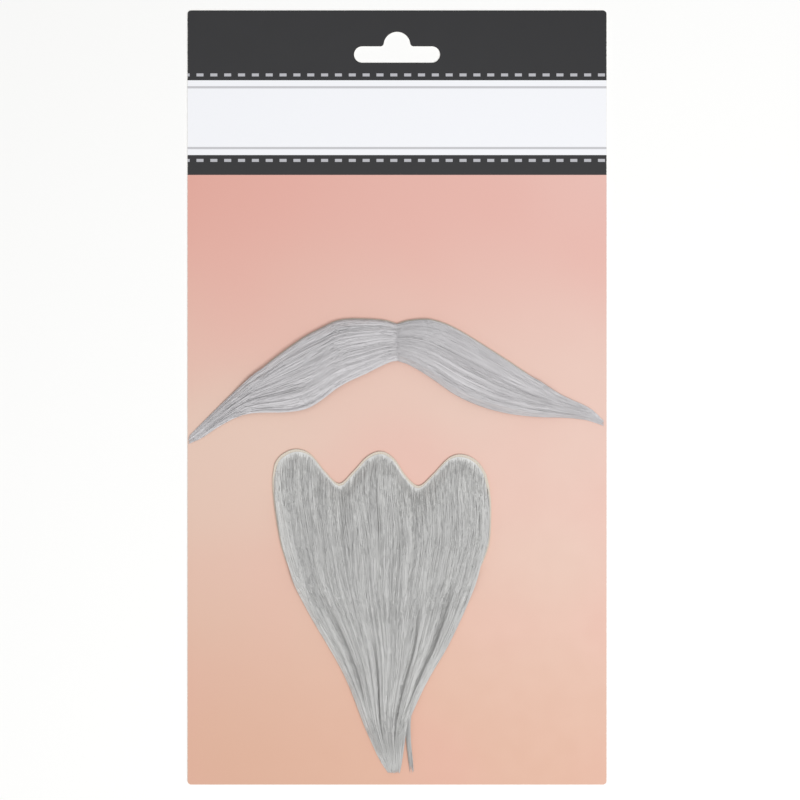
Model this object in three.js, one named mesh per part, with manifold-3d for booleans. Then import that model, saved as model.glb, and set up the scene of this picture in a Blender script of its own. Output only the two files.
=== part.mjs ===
// A costume moustache and its matching goatee, of long grey hair on knitted backings with sticky backs,
// both stuck to a plain hanging card with a euro slot.
// All sizes are millimetres. The card lies on its back: X runs across it, Y runs up it towards the slot,
// and Z runs out of its face. The origin is the middle of the card's back.

import * as THREE from "three";
import { mergeVertices } from "three/addons/utils/BufferGeometryUtils.js";
import Module from "manifold-3d";

const wasm = await Module();
wasm.setup();

// Card
const cardThickness = 0.6;
const cardCornerRadius = 1.5;
const cardSideMargin = 0.4; // from the longer wing's tip to the card's side
const cardBottomMargin = 4.4; // from the goatee's tip to the card's lower edge
const headerHeight = 61.2; // the printed bands above the picture panel

// Euro slot: a bar with round ends and a round hump in the middle of its upper side
const slotWidth = 32;
const slotHeight = 6.1;
const slotDrop = 16.4; // from the card's upper edge to the middle of the bar
const slotHumpRadius = 5;
const slotHumpRise = 0.4; // the hump's centre above the bar's upper side
const slotFilletRadius = 1.2;

// Knitted backings
const backingThickness = 1;
const backingRim = 0.9; // how far the cloth shows past the roots of the hair
const backingTuck = 1.6; // how far the hair hangs over the cloth's lower edge
const seatGap = 0.1; // between pieces that lie on each other

// Moustache: each wing runs from the parting out to a tip
const moustacheDrop = 53.6; // from the printed header down to the crest of the moustache
const leftWingReach = 77.6;
const leftWingFall = 46.2; // from the crest down to the left tip
const rightWingReach = 76.9;
const rightWingFall = 39.4;
const partingGap = 0.4; // between the two wings' roots
const wingHairHeight = 4.6;
const wingLocks = 6;

// Goatee
const goateeDrop = 48.4; // from the crest of the moustache down to the goatee's highest lobe
const goateeLength = 120.4;
const goateeHalfWidth = 40.7;
const goateeShift = -5.7; // its middle from the middle of the card
const goateeHairHeight = 5.4;
const goateeLocks = 9;
const wispHalfWidth = 0.8; // the stray lock beside the goatee's tip
const wispHeight = 1.4;

// Make of the hair: a low mat that has the outline, with crowned locks side by side on it
const matThickness = 1.4;
const lockOverlap = 1.5; // a lock's width over its share of the hair's width
const lockSway = 0.35; // how far a lock wanders to each side
const swayTurn = 7; // radians of its wave along a lock
const swayShift = 2.3; // radians between one lock's wave and the next
const lockRootHeight = 0.4; // share of a lock's height that it has at its root
const lockRise = 0.12; // share of a lock's length in which it reaches its full height
const outerLockHeight = 0.8; // height of the outermost locks, as a share of the middle one's
const lowLockHeight = 0.88; // height of every second lock, as a share of its neighbours'
const looseHairGap = 1; // from a backing's end to where the loose hair comes down to the card
const edgeFade = 0.08; // share of the hair's length over which the cloth's rim goes under the hair

// Fineness of the faceted shapes
const lockStations = 12;
const lockFacets = 6;
const aheadShare = 0.01; // how far ahead a lock's path is read to find which way it points
const sideSteps = 18; // along a sheet's sides
const lobeSteps = 30; // across the goatee's lobes
const sideEase = 0.5; // how much closer together these are towards the sides, from 0 to 1
const arcSegments = 10;

// The wings' outlines. out is a share of the reach, top and bottom are shares of the fall below the
// crest, and loft is a share of the hair's height.
const leftWing = [
  { out: 0.0, top: 0.041, bottom: 0.323, loft: 0.6 },
  { out: 0.05, top: 0.013, bottom: 0.352, loft: 0.75 },
  { out: 0.144, top: 0.0, bottom: 0.435, loft: 0.95 },
  { out: 0.24, top: 0.0, bottom: 0.506, loft: 1.0 },
  { out: 0.3, top: 0.02, bottom: 0.565, loft: 1.0 },
  { out: 0.36, top: 0.07, bottom: 0.645, loft: 1.0 },
  { out: 0.433, top: 0.132, bottom: 0.715, loft: 1.0 },
  { out: 0.53, top: 0.242, bottom: 0.742, loft: 0.98 },
  { out: 0.626, top: 0.366, bottom: 0.744, loft: 0.9 },
  { out: 0.723, top: 0.51, bottom: 0.755, loft: 0.75 },
  { out: 0.8, top: 0.63, bottom: 0.806, loft: 0.6 },
  { out: 0.869, top: 0.741, bottom: 0.873, loft: 0.5 },
  { out: 0.94, top: 0.857, bottom: 0.955, loft: 0.42 },
  { out: 1.0, top: 0.958, bottom: 1.0, loft: 0.3 },
];
const rightWing = [
  { out: 0.0, top: 0.048, bottom: 0.378, loft: 0.6 },
  { out: 0.048, top: 0.016, bottom: 0.412, loft: 0.75 },
  { out: 0.144, top: 0.0, bottom: 0.52, loft: 0.95 },
  { out: 0.2, top: 0.022, bottom: 0.596, loft: 1.0 },
  { out: 0.26, top: 0.066, bottom: 0.68, loft: 1.0 },
  { out: 0.33, top: 0.14, bottom: 0.755, loft: 1.0 },
  { out: 0.42, top: 0.248, bottom: 0.824, loft: 1.0 },
  { out: 0.52, top: 0.372, bottom: 0.876, loft: 0.96 },
  { out: 0.62, top: 0.502, bottom: 0.904, loft: 0.86 },
  { out: 0.72, top: 0.638, bottom: 0.917, loft: 0.72 },
  { out: 0.81, top: 0.746, bottom: 0.92, loft: 0.58 },
  { out: 0.89, top: 0.81, bottom: 0.935, loft: 0.48 },
  { out: 0.95, top: 0.876, bottom: 0.958, loft: 0.4 },
  { out: 1.0, top: 0.972, bottom: 1.0, loft: 0.3 },
];
const wingBackingEnd = 0.7; // share of the reach that has cloth under it

// The goatee's scalloped upper edge, from left to right. across is a share of its half width, and down
// a share of its length.
const goateeCrown = [
  { across: -1.0, down: 0.09 },
  { across: -0.975, down: 0.044 },
  { across: -0.89, down: 0.012 },
  { across: -0.771, down: 0.0 },
  { across: -0.65, down: 0.016 },
  { across: -0.52, down: 0.068 },
  { across: -0.39, down: 0.106 },
  { across: -0.265, down: 0.07 },
  { across: -0.13, down: 0.022 },
  { across: 0.0, down: 0.007 },
  { across: 0.115, down: 0.03 },
  { across: 0.22, down: 0.082 },
  { across: 0.337, down: 0.113 },
  { across: 0.46, down: 0.08 },
  { across: 0.61, down: 0.028 },
  { across: 0.73, down: 0.016 },
  { across: 0.86, down: 0.034 },
  { across: 0.95, down: 0.075 },
  { across: 0.985, down: 0.12 },
];

// The goatee's sides, from the lobes down to the tip, in the same shares
const goateeSides = [
  { down: 0.12, left: -0.998, right: 0.985, loft: 0.75 },
  { down: 0.18, left: -0.98, right: 1.0, loft: 0.9 },
  { down: 0.286, left: -0.928, right: 0.985, loft: 1.0 },
  { down: 0.34, left: -0.88, right: 0.935, loft: 1.0 },
  { down: 0.4, left: -0.81, right: 0.865, loft: 1.0 },
  { down: 0.463, left: -0.72, right: 0.79, loft: 1.0 },
  { down: 0.54, left: -0.592, right: 0.688, loft: 0.98 },
  { down: 0.62, left: -0.45, right: 0.57, loft: 0.94 },
  { down: 0.7, left: -0.322, right: 0.428, loft: 0.88 },
  { down: 0.78, left: -0.228, right: 0.312, loft: 0.8 },
  { down: 0.85, left: -0.152, right: 0.228, loft: 0.7 },
  { down: 0.914, left: -0.07, right: 0.196, loft: 0.55 },
  { down: 0.965, left: 0.0, right: 0.176, loft: 0.42 },
  { down: 1.0, left: 0.07, right: 0.155, loft: 0.3 },
];
const goateeBackingEnd = 0.42; // share of the length that has cloth under it
const goateeBackingBelly = 0.05; // how much further the cloth's rounded lower edge reaches

// The stray lock that leaves the goatee above its tip
const goateeWisp = [
  { down: 0.76, across: 0.29 },
  { down: 0.8, across: 0.262 },
  { down: 0.84, across: 0.243 },
  { down: 0.9, across: 0.246 },
  { down: 0.95, across: 0.26 },
  { down: 1.0, across: 0.277 },
];

// Places that follow from the sizes
const cardWidth = 2 * (Math.max(leftWingReach, rightWingReach) + cardSideMargin);
const cardHeight = headerHeight + moustacheDrop + goateeDrop + goateeLength + cardBottomMargin;
const cardTop = cardHeight / 2;
const crestY = cardTop - headerHeight - moustacheDrop;
const goateeTop = crestY - goateeDrop;
const backingZ = cardThickness + seatGap;
const hairZ = backingZ + backingThickness + seatGap;
const looseHairZ = cardThickness + seatGap;

const material = (colour, roughness) =>
  new THREE.MeshStandardMaterial({ color: colour, roughness, metalness: 0 });
const printedCard = material(0xe2b5a4, 0.45);
const knittedCloth = material(0xe4ddd2, 0.95);
const moustacheHair = material(0xbebcbe, 0.5);
const goateeHair = material(0xb1b1b1, 0.5);

const { lerp, clamp, smoothstep } = THREE.MathUtils;

// Evenly spaced shares from start to end
const steps = (start, end, count) =>
  Array.from({ length: count + 1 }, (_, i) => lerp(start, end, i / count));

// A smooth reading of a table's column at a share of another column, held at the table's two ends
function read(rows, along, column, share) {
  const last = rows.length - 2;
  const next = rows.findIndex((row) => row[along] > share);
  const i = clamp(next < 0 ? last : next - 1, 0, last);
  const slope = (a, b) =>
    (rows[b][column] - rows[a][column]) / (rows[b][along] - rows[a][along]);
  const span = rows[i + 1][along] - rows[i][along];
  const u = clamp((share - rows[i][along]) / span, 0, 1);
  const slopeIn = slope(Math.max(i - 1, 0), i + 1) * span;
  const slopeOut = slope(i, Math.min(i + 2, last + 1)) * span;
  return (
    (2 * u ** 3 - 3 * u ** 2 + 1) * rows[i][column] +
    (u ** 3 - 2 * u ** 2 + u) * slopeIn +
    (3 * u ** 2 - 2 * u ** 3) * rows[i + 1][column] +
    (u ** 3 - u ** 2) * slopeOut
  );
}

function solidFrom(geometry) {
  geometry.deleteAttribute("normal");
  geometry.deleteAttribute("uv");
  const merged = mergeVertices(geometry, 1e-4);
  const mesh = new wasm.Mesh({
    numProp: 3,
    vertProperties: merged.attributes.position.array,
    triVerts: new Uint32Array(merged.index.array),
  });
  return new wasm.Manifold(mesh);
}

function geometryFrom(solid) {
  const mesh = solid.getMesh();
  const geometry = new THREE.BufferGeometry();
  geometry.setAttribute("position", new THREE.BufferAttribute(mesh.vertProperties, 3));
  geometry.setIndex(new THREE.BufferAttribute(mesh.triVerts, 1));
  geometry.computeVertexNormals();
  return geometry;
}

function prism(shape, bottom, top) {
  const geometry = new THREE.ExtrudeGeometry(shape, {
    depth: top - bottom,
    bevelEnabled: false,
    curveSegments: arcSegments,
  });
  return geometry.translate(0, 0, bottom);
}

function named(name, geometry, finish) {
  const mesh = new THREE.Mesh(geometry, finish);
  mesh.name = name;
  return mesh;
}

// A bar with round ends whose upper side swells into a round hump, with small fillets beside the hump
function euroSlot() {
  const endRadius = slotHeight / 2;
  const endX = slotWidth / 2 - endRadius;
  const barY = cardTop - slotDrop;
  const barTop = barY + endRadius;
  const humpY = barTop + slotHumpRise;
  const reach = slotHumpRadius + slotFilletRadius;
  const filletY = barTop + slotFilletRadius;
  const filletX = Math.sqrt(reach ** 2 - (filletY - humpY) ** 2);
  const turn = Math.atan2(filletY - humpY, filletX);
  const half = Math.PI / 2;
  const slot = new THREE.Path();
  slot.absarc(endX, barY, endRadius, half, -half, true);
  slot.absarc(-endX, barY, endRadius, -half, -3 * half, true);
  slot.absarc(-filletX, filletY, slotFilletRadius, -half, -turn, false);
  slot.absarc(0, humpY, slotHumpRadius, Math.PI - turn, turn, true);
  slot.absarc(filletX, filletY, slotFilletRadius, Math.PI + turn, 3 * half, false);
  slot.closePath();
  return slot;
}

function makeCard() {
  const x = cardWidth / 2 - cardCornerRadius;
  const y = cardTop - cardCornerRadius;
  const quarter = Math.PI / 2;
  const outline = new THREE.Shape();
  outline.absarc(x, y, cardCornerRadius, 0, quarter, false);
  outline.absarc(-x, y, cardCornerRadius, quarter, 2 * quarter, false);
  outline.absarc(-x, -y, cardCornerRadius, 2 * quarter, 3 * quarter, false);
  outline.absarc(x, -y, cardCornerRadius, 3 * quarter, 4 * quarter, false);
  outline.holes.push(euroSlot());
  return named("card", prism(outline, 0, cardThickness), printedCard);
}

// How much of the cloth's rim shows at a share of the hair's length: 1 where it shows, 0 past its end
const rimShown = (share, backingEnd) => 1 - smoothstep(share, backingEnd - edgeFade, backingEnd);

// Hair and cloth are both cut from a sheet between two sides. place() gives the point at a share along
// it and a share across it, with each side moved in by a margin, and start() where it begins.
function wingSheet(rows, side, reach, fall) {
  const edgeY = (out, column) => crestY - read(rows, "out", column, out) * fall;
  return {
    length: reach,
    backingEnd: wingBackingEnd,
    backingBelly: 0,
    rootMargin: partingGap / 2,
    stepsAcross: 1,
    start: () => 0,
    loft: (out) => read(rows, "out", "loft", out),
    place(out, across, upperMargin, lowerMargin) {
      const upper = edgeY(out, "top") - upperMargin;
      const lower = edgeY(out, "bottom") + lowerMargin;
      return new THREE.Vector2(side * out * reach, lerp(upper, lower, across));
    },
  };
}

function makeGoateeSheet() {
  const sideX = (down, column) =>
    goateeShift + read(goateeSides, "down", column, down) * goateeHalfWidth;
  const { left, right } = goateeSides[0];
  return {
    length: goateeLength,
    backingEnd: goateeBackingEnd,
    backingBelly: goateeBackingBelly,
    rootMargin: backingRim,
    stepsAcross: lobeSteps,
    start: (across) => read(goateeCrown, "across", "down", lerp(left, right, across)),
    loft: (down) => read(goateeSides, "down", "loft", down),
    place(down, across, leftMargin, rightMargin) {
      const x = lerp(
        sideX(down, "left") + leftMargin,
        sideX(down, "right") - rightMargin,
        across,
      );
      return new THREE.Vector2(x, goateeTop - down * goateeLength);
    },
  };
}

// The outline of a sheet between two shares of its length, which may change across it
function outline(sheet, start, end, margins) {
  const at = (share, across) => sheet.place(share, across, ...margins(share));
  const eased = (t) => lerp(t, smoothstep(t, 0, 1), sideEase);
  const across = steps(0, 1, sheet.stepsAcross).slice(1, -1).map(eased);
  return new THREE.Shape([
    ...steps(start(0), end(0), sideSteps).map((share) => at(share, 0)),
    ...across.map((t) => at(end(t), t)),
    ...steps(end(1), start(1), sideSteps).map((share) => at(share, 1)),
    ...across.reverse().map((t) => at(start(t), t)),
  ]);
}

// The cloth has the hair's outline, and goes in under the hair towards its own end
function backingSolid(sheet, rootLap, sides) {
  const start = (across) => sheet.start(across) - rootLap / sheet.length;
  const end = (across) => sheet.backingEnd + 4 * sheet.backingBelly * across * (1 - across);
  const margins = (share) => {
    const tucked = backingTuck * (1 - rimShown(share, sheet.backingEnd));
    return sides.map((tuckAlways) => (tuckAlways ? backingTuck : tucked));
  };
  const shape = outline(sheet, start, end, margins);
  return solidFrom(prism(shape, backingZ, backingZ + backingThickness));
}

// A lock: crowned sections on a flat base, one at each station of its path
function lockSolid(stations) {
  const last = stations.length - 1;
  const ring = lockFacets + 1;
  const positions = [];
  const triangles = [];
  stations.forEach(({ centre, half, height, base }, j) => {
    const before = stations[Math.max(j - 1, 0)].centre;
    const after = stations[Math.min(j + 1, last)].centre;
    const ahead = after.clone().sub(before).normalize();
    for (let i = 0; i < ring; i++) {
      const angle = (Math.PI * i) / lockFacets;
      const sideways = half * Math.cos(angle);
      positions.push(centre.x - ahead.y * sideways, centre.y + ahead.x * sideways);
      positions.push(base + height * Math.sin(angle));
    }
  });
  for (let j = 0; j < last; j++) {
    for (let i = 0; i < ring; i++) {
      const a = j * ring + i;
      const b = j * ring + ((i + 1) % ring);
      triangles.push(a, b, b + ring, a, b + ring, a + ring);
    }
  }
  for (let i = 1; i + 1 < ring; i++) {
    triangles.push(0, i + 1, i);
    triangles.push(last * ring, last * ring + i, last * ring + i + 1);
  }
  const geometry = new THREE.BufferGeometry();
  geometry.setAttribute("position", new THREE.Float32BufferAttribute(positions, 3));
  geometry.setIndex(triangles);
  return solidFrom(geometry);
}

// The stations of one of a sheet's locks, side by side with its neighbours
function lockPath(sheet, index, count, hairHeight, margins) {
  const inset = lockOverlap / 2 / count;
  const across = lerp(inset, 1 - inset, index / (count - 1));
  const begin = sheet.start(across) + sheet.rootMargin / sheet.length;
  const crowning = lerp(outerLockHeight, 1, Math.sin(Math.PI * across));
  const alternation = index % 2 ? lowLockHeight : 1;
  const at = (share, t) => sheet.place(share, t, ...margins(share));
  return steps(begin, 1, lockStations).map((share, j) => {
    const along = j / lockStations;
    const ahead = at(share + aheadShare, across).sub(at(share, across)).normalize();
    const sideways = new THREE.Vector2(-ahead.y, ahead.x);
    const width = Math.abs(at(share, 1).sub(at(share, 0)).dot(sideways));
    const wave = Math.sin(swayTurn * along + swayShift * index);
    const sway = lockSway * Math.sin(Math.PI * along) * wave;
    const rise = lerp(lockRootHeight, 1, smoothstep(along, 0, lockRise));
    return {
      centre: at(share, across).addScaledVector(sideways, sway),
      half: (width * lockOverlap) / 2 / count,
      height: hairHeight * sheet.loft(share) * crowning * alternation * rise,
      base: hairZ,
    };
  });
}

// A low mat with the hair's outline, its locks on it, and the loose end that comes down to the card
function hairSolid(sheet, count, hairHeight, sides) {
  const margins = (share) => {
    const rim = backingRim * rimShown(share, sheet.backingEnd);
    return sides.map((rimmed) => (rimmed ? rim : 0));
  };
  const start = (across) => sheet.start(across) + sheet.rootMargin / sheet.length;
  const loose = sheet.backingEnd + sheet.backingBelly + looseHairGap / sheet.length;
  const whole = outline(sheet, start, () => 1, margins);
  const looseEnd = outline(sheet, () => loose, () => 1, margins);
  const mat = solidFrom(prism(whole, hairZ, hairZ + matThickness));
  const room = solidFrom(prism(whole, hairZ, hairZ + 2 * hairHeight));
  const end = solidFrom(prism(looseEnd, looseHairZ, hairZ + matThickness));
  const locks = Array.from({ length: count }, (_, index) =>
    lockSolid(lockPath(sheet, index, count, hairHeight, margins)),
  );
  return wasm.Manifold.union([wasm.Manifold.union(locks).intersect(room), mat, end]);
}

function wispSolid() {
  const begin = goateeWisp[0].down;
  const stations = steps(begin, 1, lockStations).map((down) => {
    const across = read(goateeWisp, "down", "across", down);
    const x = goateeShift + across * goateeHalfWidth;
    return {
      centre: new THREE.Vector2(x, goateeTop - down * goateeLength),
      half: wispHalfWidth,
      height: hairZ - looseHairZ + wispHeight,
      base: looseHairZ,
    };
  });
  return lockSolid(stations);
}

const wings = [
  wingSheet(leftWing, -1, leftWingReach, leftWingFall),
  wingSheet(rightWing, 1, rightWingReach, rightWingFall),
];
const goateeSheet = makeGoateeSheet();

function makeMoustacheBacking() {
  const halves = wings.map((wing) => backingSolid(wing, partingGap, [false, true]));
  return named("moustache_backing", geometryFrom(halves[0].add(halves[1])), knittedCloth);
}

function makeWingHair(name, wing) {
  const hair = hairSolid(wing, wingLocks, wingHairHeight, [true, false]);
  return named(name, geometryFrom(hair), moustacheHair);
}

function makeGoateeBacking() {
  const cloth = backingSolid(goateeSheet, 0, [false, false]);
  return named("goatee_backing", geometryFrom(cloth), knittedCloth);
}

function makeGoateeHair() {
  const hair = hairSolid(goateeSheet, goateeLocks, goateeHairHeight, [true, true]);
  return named("goatee_hair", geometryFrom(hair.add(wispSolid())), goateeHair);
}

const moustache = new THREE.Group();
moustache.add(
  makeMoustacheBacking(),
  makeWingHair("moustache_hair_left", wings[0]),
  makeWingHair("moustache_hair_right", wings[1]),
);

const goatee = new THREE.Group();
goatee.add(makeGoateeBacking(), makeGoateeHair());

const part = new THREE.Group();
part.add(makeCard(), moustache, goatee);

export default part;
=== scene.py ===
# A costume moustache and its matching goatee, of combed synthetic hair on knitted backings, stuck to a
# plain hanging card. All places are in metres in the part's own frame: X across the card, Y up it towards
# its slot, and Z out of its face. The card lies on its back, with the origin in the middle of its back.

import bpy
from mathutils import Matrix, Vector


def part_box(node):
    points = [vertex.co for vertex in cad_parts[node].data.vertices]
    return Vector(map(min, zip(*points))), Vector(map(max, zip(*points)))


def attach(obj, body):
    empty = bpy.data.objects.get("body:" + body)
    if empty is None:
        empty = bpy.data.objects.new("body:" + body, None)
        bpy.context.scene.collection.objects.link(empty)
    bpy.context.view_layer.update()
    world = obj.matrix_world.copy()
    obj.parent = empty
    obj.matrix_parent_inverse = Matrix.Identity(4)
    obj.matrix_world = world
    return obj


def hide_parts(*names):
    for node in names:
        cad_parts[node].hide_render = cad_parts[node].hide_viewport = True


bl_info = {
    "name": "Moustache and Goatee on a Card",
    "version": (1, 0, 0),
    "blender": (4, 5, 0),
    "location": "View3D > Sidebar > False Hair",
    "description": "Builds a combed false moustache and goatee on their hanging card",
    "category": "Object",
}

from functools import partial
from math import radians

import bmesh
import bpy
import numpy as np
from bpy.props import FloatProperty, FloatVectorProperty, IntProperty, PointerProperty
from bpy.types import Operator, Panel, PropertyGroup
from mathutils import Vector

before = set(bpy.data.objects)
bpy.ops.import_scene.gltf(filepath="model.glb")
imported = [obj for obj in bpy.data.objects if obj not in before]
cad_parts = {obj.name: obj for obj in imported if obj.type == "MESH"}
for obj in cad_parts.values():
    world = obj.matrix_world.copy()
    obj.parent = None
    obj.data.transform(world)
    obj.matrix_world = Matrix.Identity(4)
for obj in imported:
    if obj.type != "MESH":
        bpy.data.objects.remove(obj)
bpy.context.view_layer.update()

MM = 0.001
ROOT = "root"

CARD_LOW, CARD_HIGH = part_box("card")
LEFT_LOW, LEFT_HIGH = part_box("moustache_hair_left")
RIGHT_LOW, RIGHT_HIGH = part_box("moustache_hair_right")
CLOTH_LOW, CLOTH_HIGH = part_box("moustache_backing")
BIB_LOW, BIB_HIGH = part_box("goatee_backing")
BEARD_LOW, BEARD_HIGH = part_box("goatee_hair")

CREST = CLOTH_HIGH.y  # the moustache's highest edge
HAIR_FLOOR = CLOTH_HIGH.z + 0.1 * MM  # the hair lies on the cloth
LOOSE_FLOOR = BEARD_LOW.z  # past the cloth the hair comes down to the card


def table(columns, *rows):
    return [dict(zip(columns.split(), row)) for row in rows]


# The wings' outlines. out is a share of the reach, top and bottom are shares of the fall below the crest,
# and loft is a share of the hair's height.
LEFT_WING = table(
    "out top bottom loft",
    (0.0, 0.041, 0.323, 0.6),
    (0.05, 0.013, 0.352, 0.75),
    (0.144, 0.0, 0.435, 0.95),
    (0.24, 0.0, 0.506, 1.0),
    (0.3, 0.02, 0.565, 1.0),
    (0.36, 0.07, 0.645, 1.0),
    (0.433, 0.132, 0.715, 1.0),
    (0.53, 0.242, 0.742, 0.98),
    (0.626, 0.366, 0.744, 0.9),
    (0.723, 0.51, 0.755, 0.75),
    (0.8, 0.63, 0.806, 0.6),
    (0.869, 0.741, 0.873, 0.5),
    (0.94, 0.857, 0.955, 0.42),
    (1.0, 0.958, 1.0, 0.3),
)
RIGHT_WING = table(
    "out top bottom loft",
    (0.0, 0.048, 0.378, 0.6),
    (0.048, 0.016, 0.412, 0.75),
    (0.144, 0.0, 0.52, 0.95),
    (0.2, 0.022, 0.596, 1.0),
    (0.26, 0.066, 0.68, 1.0),
    (0.33, 0.14, 0.755, 1.0),
    (0.42, 0.248, 0.824, 1.0),
    (0.52, 0.372, 0.876, 0.96),
    (0.62, 0.502, 0.904, 0.86),
    (0.72, 0.638, 0.917, 0.72),
    (0.81, 0.746, 0.92, 0.58),
    (0.89, 0.81, 0.935, 0.48),
    (0.95, 0.876, 0.958, 0.4),
    (1.0, 0.972, 1.0, 0.3),
)

# The goatee's scalloped upper edge, in shares of its half width and of its length
GOATEE_CROWN = table(
    "across down",
    (-1.0, 0.09),
    (-0.975, 0.044),
    (-0.89, 0.012),
    (-0.771, 0.0),
    (-0.65, 0.016),
    (-0.52, 0.068),
    (-0.39, 0.106),
    (-0.265, 0.07),
    (-0.13, 0.022),
    (0.0, 0.007),
    (0.115, 0.03),
    (0.22, 0.082),
    (0.337, 0.113),
    (0.46, 0.08),
    (0.61, 0.028),
    (0.73, 0.016),
    (0.86, 0.034),
    (0.95, 0.075),
    (0.985, 0.12),
)
GOATEE_SIDES = table(
    "down left right loft",
    (0.12, -0.998, 0.985, 0.75),
    (0.18, -0.98, 1.0, 0.9),
    (0.286, -0.928, 0.985, 1.0),
    (0.34, -0.88, 0.935, 1.0),
    (0.4, -0.81, 0.865, 1.0),
    (0.463, -0.72, 0.79, 1.0),
    (0.54, -0.592, 0.688, 0.98),
    (0.62, -0.45, 0.57, 0.94),
    (0.7, -0.322, 0.428, 0.88),
    (0.78, -0.228, 0.312, 0.8),
    (0.85, -0.152, 0.228, 0.7),
    (0.914, -0.07, 0.196, 0.55),
    (0.965, 0.0, 0.176, 0.42),
    (1.0, 0.07, 0.155, 0.3),
)
GOATEE_WISP = table(
    "down across",
    (0.76, 0.29),
    (0.8, 0.262),
    (0.84, 0.243),
    (0.9, 0.246),
    (0.95, 0.26),
    (1.0, 0.277),
)

# Where the combed hair parts and a valley shows between two locks. across is the place between the hair's
# two sides, width the gap as a share of the hair's width, and opens, full, closes and shut are shares of
# its length.
GOATEE_PARTINGS = table(
    "across width opens full closes shut",
    (0.13, 0.02, 0.42, 0.56, 0.7, 0.84),
    (0.37, 0.008, 0.5, 0.66, 0.78, 1.0),
    (0.7, 0.022, 0.44, 0.66, 0.78, 0.98),
    (0.86, 0.015, 0.34, 0.56, 0.66, 0.84),
)
LEFT_PARTINGS = table(
    "across width opens full closes shut",
    (0.78, 0.006, 0.5, 0.58, 0.66, 0.74),
)
RIGHT_PARTINGS = table(
    "across width opens full closes shut",
    (0.47, 0.005, 0.26, 0.32, 0.38, 0.5),
    (0.3, 0.008, 0.66, 0.74, 0.86, 0.96),
)

# The cloth follows the hair's outline. It shows past the hair round the roots, and tucks under elsewhere.
CLOTH_RIM = 0.9 * MM
CLOTH_TUCK = 1.6 * MM
CLOTH_BELLY = 0.05  # how much further its rounded lower edge reaches, as a share of the goatee's length
EDGE_FADE = 0.08  # share of the hair's length over which the rim goes in under the hair

# The hair's upper surface
FRINGE = 0.4 * MM  # how far the outermost strands reach past the locks
LOOSE_DROP = 6 * MM  # in this length the hair comes down from the cloth to the card
EDGE_CROWN = 0.3  # height at the hair's two sides, as a share of the middle's
ROOT_RISE = 0.12  # share of its length in which it reaches its full height
LOCK_DEPTH = 0.15  # depth of the valleys between locks, as a share of the hair's height
STREAK_DEPTH = 0.1  # the same for the fine streaks
STREAKS_FADE = (0.55, 0.8)  # shares of the hair's length between which they die away
CROWN_SHAPE = (3, 0.6)  # powers that make the hair's cross-section flat-topped
LOCK_SHAPE = 0.7  # the lower it is, the narrower the valleys between locks
LOCK_TURNS = 4  # how often a valley swerves from root to tip
LOCK_SEED = 5
THINNEST_HAIR = 0.3 * MM
WING_LAP = 4.4 * MM  # how far each wing's roots cross the middle

# Partings, in shares of the hair's width
PARTING_EDGE = 0.01
PARTING_REACH = 0.08
PARTING_FALL = 0.016

STRAY_HALF_WIDTH = 0.8 * MM
STRAY_HEIGHT = 2.2 * MM

GUIDE_ROWS = 61
GUIDE_COLUMNS = 241

SHARP_FROM = radians(50)  # edges this sharp or sharper aren't shaded smooth

# Strands
SIDE_GAP = 0.002  # how far they keep from the guide surface's sides, as a share of its width
END_GAP = 0.001
GOLDEN_STEP = 0.618034
UNLIKE_STEP = 3.713  # between one strand's row of noise and the next one's
ROOT_POWER = 2.4  # the higher it is, the more strands start at the roots
DEPTH_POWER = 1.5  # the higher it is, the more strands lie near the surface
CUT_POWER = 1.1  # the lower it is, the fewer strands reach the tip
WANDER_WAVES = 3.0  # turns that a strand makes along its length
LEAN_WAVES = 2.5  # turns that a lock makes along its length
STREAK_DRIFT = 4.0  # cells of tone along a strand
STREAK_CONTRAST = 0.85
STRAND_CONTRAST = 0.06
# Painted light: the thin ends are painted paler, towards this tone
PAINTED_TIP_LIGHT = 0.9
TIP_EVENNESS_AND_LIGHT = 0.6  # how much nearer to that painted light the thin ends are, which also evens out their streaks
TIP_FROM = 0.5  # share of the hair's length past which they near it
SETTLE_FROM = 0.8  # share of a strand's length past which it sinks into the rest
SETTLE_TO = 0.5
TAPER_FROM = 0.7  # share of its length past which it tapers
TAPER_TO = 0.6
ROOT_REACH = 0.22  # share of the hair's length over which the light and shade painted at its roots fade out
EDGE_WIDTH = 0.07  # share of the hair's width at its first side that is painted paler, as painted light
STRAY_WANDER = 6.0  # how much further a stray strand swings
STRAY_LIFT = 0.25 * MM
STRAND_INPUTS = {
    "Geometry": ["Guide"],
    "Int": ["Strands", "Stations", "Seed"],
    "Float": [
        "Radius", "Upper depth", "Lower depth", "Root spread", "Root unevenness", "Root rise", "Shortness",
        "Wander", "Locks", "Lean", "Strays", "Stray wander", "Stray lift", "Streaks", "Painted edge light",
        "Painted root shading",
    ],
    "Material": ["Fibre"],
}

BODY_ROWS = 48
BODY_COLUMNS = 72
BODY_MARGIN = 0.02  # share of the width left to the top strands on each side
BODY_END_MARGIN = 0.35  # the same at its end
BODY_SHARE = 0.8  # height of the hair's body, as a share of the whole
BODY_LIFT = 0.05 * MM  # above the cloth
BODY_FADE = 0.7  # where along the body it starts to thin out
BODY_CONTRAST = 0.6
BODY_DRIFT = 3  # cells of tone along it
BODY_SIDES = 6  # power that rounds its two sides
WING_BODY_END = 0.96
GOATEE_BODY_END = 0.92
STREAK_SEED = 8

CLOTH_ROWS = 40
CLOTH_COLUMNS = 140

WING_STATIONS = 16
WING_SEED = 1
GOATEE_STATIONS = 18
LAYER_SEED = 11
STRAY_SEED = 21
GOATEE_LAYERS = {"lower": (0.2, 1.0), "middle": (0.05, 0.25), "upper": (0.0, 0.1)}

CORNER_SHARE = 0.5  # how far the panel's upper right corner goes towards its own colour
INK_CHIPPED = 0.6  # how much of the ink is gone along the card's cut sides
INK_FROM = 0.93  # share of the board's thickness above which it is printed
WAVE_BANDS = 0.314  # the wave texture's bands to a unit of its scale, turned to bands to a pitch

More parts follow.
